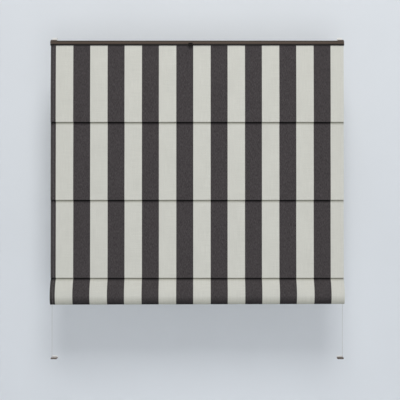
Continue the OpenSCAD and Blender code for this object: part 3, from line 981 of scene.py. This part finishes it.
def side_hems(cloth, label, front, back, stray):
    """Turned-in edges behind the cloth along the route back, stitched there and along the route front."""
    half, lift = cloth.thickness / 2, HEM_LIFT * cloth.thickness
    turned = [(p[0] + s[0] * lift, p[1] + s[1] * lift, p[2]) for p, s in zip(back, route_sides(back))]
    pieces = []
    for side, name in ((-1, f"{label}_left"), (1, f"{label}_right")):
        edge = side * CLOTH_HALF
        inner = edge - side * cloth.hem_width
        seam = inner + side * HEM_SEAM
        xs = sorted((edge, (edge + inner) / 2, inner))
        hem = shell(f"side_hem_{name}", turned, xs, cloth.thickness, stray)
        dress(hem, cloth_material(cloth))
        spots = []
        for route, out, rise in ((front, -1, half), (back, 1, lift + half)):
            for y, z, loose, heading in walk(route, cloth.stitch_pitch):
                place = Vector((seam, y, z)) + Vector(stray(seam, y, z, loose))
                away = Vector((0, -heading.z, heading.y)) * out
                spots.append((place + away * rise, heading, away))
        pieces += [hem, sewn_thread(f"hem_stitches_{name}", cloth, spots)]
    return pieces


class BLIND_OT_panels(Operator):
    """Hangs the three upper panels as one sheet with its tucks and side hems"""

    bl_idname = "blind.panels"
    bl_label = "Panels"

    def execute(self, context):
        cloth = context.scene.blind_cloth
        route = panels_route(cloth.thickness)
        limit = RAIL_HIGH.x - CAP_ROOM

        def stray(x, y, z, loose):
            near_edge = max(0.0, abs(x) / CLOTH_HALF - (1 - EDGE_SHARE)) / EDGE_SHARE
            short = SHORT_SHARE * drift(x, z, RIPPLE_SHORT, SHORT_SEED)
            out = cloth.ripple * loose * (drift(x, z, RIPPLE_LONG, RIPPLE_SEED) + short)
            side_seed = CURL_SEED + math.copysign(1, x)
            curl = CURL * near_edge * loose * drift(0.0, z, CURL_LENGTH, side_seed)
            dip = sum(
                DIP * max(0.0, 1 - abs(z - crease) / DIP_REACH) * drift(x, 0.0, DIP_LENGTH, DIP_SEED + n)
                for n, crease in enumerate(CREASES)
            )
            aside = WAVER * near_edge * drift(0.0, z, WAVER_LENGTH, WAVER_SEED) * loose
            return aside, out + curl, dip

        def keep(x, row):
            return abs(x) < limit or route[row][1] < RAIL_LOW.z

        xs = places(CLOTH_HALF, cloth.columns, limit)
        sheet = shell("cloth_panels", route, xs, cloth.thickness, stray, keep)
        dress(sheet, cloth_material(cloth))
        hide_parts("fabric")
        hems = []
        for n, panel in enumerate(panel_routes(cloth.thickness)):
            top = ([RAIL_LOW.z] + CREASES)[n] - HEM_ROOM
            front, back = (cut(panel, CREASES[n] + rise, top) for rise in (SEAM_ABOVE, HEM_ABOVE))
            hems += side_hems(cloth, f"panel_{n + 1}", front, back, stray)
        for piece in [sheet] + hems:
            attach(piece, UPPER)
            self.gather(piece)
        return {"FINISHED"}

    def gather(self, piece):
        """Gives the piece its own copy of its mesh."""
        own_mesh(piece)


class BLIND_OT_fold(Operator):
    """Hangs the last fold in two halves, split at its lowest line"""

    bl_idname = "blind.fold"
    bl_label = "Last fold"

    def execute(self, context):
        cloth = context.scene.blind_cloth
        route = fold_route(cloth.thickness)
        before = route_length(panels_route(cloth.thickness))
        limit = BOTTOM_HIGH.x - CAP_ROOM
        xs = places(CLOTH_HALF, cloth.columns, limit)
        tilt = cloth.fold_tilt / (2 * CLOTH_HALF)
        lowest = lowest_row(route)
        top, low, end = CREASES[2], route[lowest][1], BOTTOM_LOW.z - SLOT_DROP

        def stray(x, y, z, loose):
            sway = SWAY * drift(x, z, SWAY_LENGTH, SWAY_SEED)
            shiver = SHIVER * drift(x, z, SHIVER_LENGTH, SHIVER_SEED)
            return 0.0, loose * (sway + shiver), loose * tilt * x

        def in_front(x, row):
            return row <= lowest

        def behind(x, row):
            return row >= lowest and (abs(x) < limit or route[row][1] < BOTTOM_LOW.z)

        halves = (
            ("front", in_front, route[: lowest + 1], top, 2 * low - top, "rod_3"),
            ("back", behind, route[lowest:], 2 * low - end, end, "bottom_spline"),
        )
        for name, keep, stretch, start, finish, holder in halves:
            sheet = shell(f"cloth_fold_{name}", route, xs, cloth.thickness, stray, keep, before)
            dress(sheet, cloth_material(cloth))
            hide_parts("fabric")
            free = cut(stretch, low, max(start, finish) - HEM_ROOM)
            hems = side_hems(cloth, f"fold_{name}", free, free, stray)
            for piece in [sheet] + hems:
                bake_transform(piece)
        return {"FINISHED"}


class BLIND_OT_tapes(Operator):
    """Sews a tape around each rod, on the back of the cloth"""

    bl_idname = "blind.tapes"
    bl_label = "Rod pockets"

    def execute(self, context):
        cloth, finish = context.scene.blind_cloth, context.scene.blind_finish
        along, out, pitch = Vector((1, 0, 0)), Vector((0, 1, 0)), cloth.stitch_pitch
        for n, rod in enumerate(RODS, 1):
            node = f"rod_{n}_pocket"
            low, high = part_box(node)
            front = low.y + TAPE_T / 2 + TAPE_OFF
            back = front + TAPE_T * TAPE_GAP
            free = low.z + TAPE_FREE
            route = [(front, low.z, LOOSE_EDGE), (front, free, LOOSE_SEAM), (front, rod.z - TAPE_NECK, 0.0)]
            route += arc_route(rod.y, rod.z, ROD_R + FIT + TAPE_T / 2, TAPE_TURN, -TAPE_TURN, TAPE_STEPS)
            route += [(back, rod.z - TAPE_TAIL, 0.0), (back, free, LOOSE_SEAM)]
            route.append((back, low.z - TAPE_LONGER, LOOSE_EDGE))

            def stray(x, y, z, loose, seed=TAPE_SEED + n):
                return 0.0, 0.0, TAPE_WAVE * loose * drift(x, 0.0, TAPE_WAVE_LENGTH, seed)

            tape = shell(f"rod_tape_{n}", route, places(high.x, cloth.columns), TAPE_T, stray)
            dress(tape, woven_material("pocket_tape", finish.tape, TAPE_PITCH))
            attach(tape, STIFFENERS[n - 1])
            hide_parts(node)
            seam = Vector((0, back + TAPE_T / 2, low.z + TAPE_SEAM))
            count = int(high.x / pitch)
            spots = [(seam + along * pitch * k, along, out) for k in range(-count, count + 1)]
            row = sewn_thread(f"tape_stitches_{n}", cloth, spots)
            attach(row, STIFFENERS[n - 1])
        return {"FINISHED"}


class BLIND_OT_fittings(Operator):
    """Gives the rails, caps, shoes, hooks, rods and grips their finishes"""

    bl_idname = "blind.fittings"
    bl_label = "Fittings"

    def execute(self, context):
        finish = context.scene.blind_finish
        nodes = frame["nodes"]
        for slot, name, colour, surface in COATS:
            coat = coat_material(name, getattr(finish, colour), *surface)
            for item in frame["record"]["subparts"]:
                if item["material_slot"] == slot:
                    dress(nodes[item["node"]], coat)
        for row, top in (("top", RAIL_HIGH.z), ("bottom", BOTTOM_HIGH.z)):
            coat = coat_material(f"{row}_rail_coat", finish.brown, *RAIL_COAT, top=top)
            cap = coat_material(f"{row}_cap_moulding", finish.brown, *CAP_COAT, top=top)
            dress(nodes[f"{row}_rail"], coat)
            for side in ("left", "right"):
                dress(nodes[f"{row}_cap_{side}"], cap)
        return {"FINISHED"}


class BLIND_PT_sidebar(Panel):
    """Lists the blind's settings and the operators that build it"""

    bl_idname = "BLIND_PT_sidebar"
    bl_label = "Roman Blind"
    bl_space_type = "VIEW_3D"
    bl_region_type = "UI"
    bl_category = "Blind"

    def draw(self, context):
        for label, group in GROUPS.items():
            box = self.layout.box()
            box.label(text=label)
            settings = getattr(context.scene, group[0])
            for name in settings.__annotations__:
                box.prop(settings, name)
        for operator in OPERATORS:
            self.layout.operator(operator.bl_idname)


GROUPS = {
    "Cloth": ("blind_cloth", BlindCloth),
    "Finishes": ("blind_finish", BlindFinish),
    "Stage": ("blind_stage", BlindStage),
}
OPERATORS = (
    BLIND_OT_stage,
    BLIND_OT_cords,
    BLIND_OT_panels,
    BLIND_OT_fold,
    BLIND_OT_tapes,
    BLIND_OT_fittings,
)


def register():
    for name, kind in GROUPS.values():
        bpy.utils.register_class(kind)
        setattr(bpy.types.Scene, name, PointerProperty(type=kind))
    for operator in OPERATORS:
        bpy.utils.register_class(operator)
    bpy.utils.register_class(BLIND_PT_sidebar)


def unregister():
    bpy.utils.unregister_class(BLIND_PT_sidebar)
    for operator in reversed(OPERATORS):
        bpy.utils.unregister_class(operator)
    for name, kind in GROUPS.values():
        delattr(bpy.types.Scene, name)
        bpy.utils.unregister_class(kind)


def main():
    register()
    bpy.ops.blind.stage()
    bpy.ops.blind.cords()
    bpy.ops.blind.panels()
    bpy.ops.blind.fold()
    bpy.ops.blind.tapes()
    bpy.ops.blind.fittings()


if __name__ == "__main__":
    main()
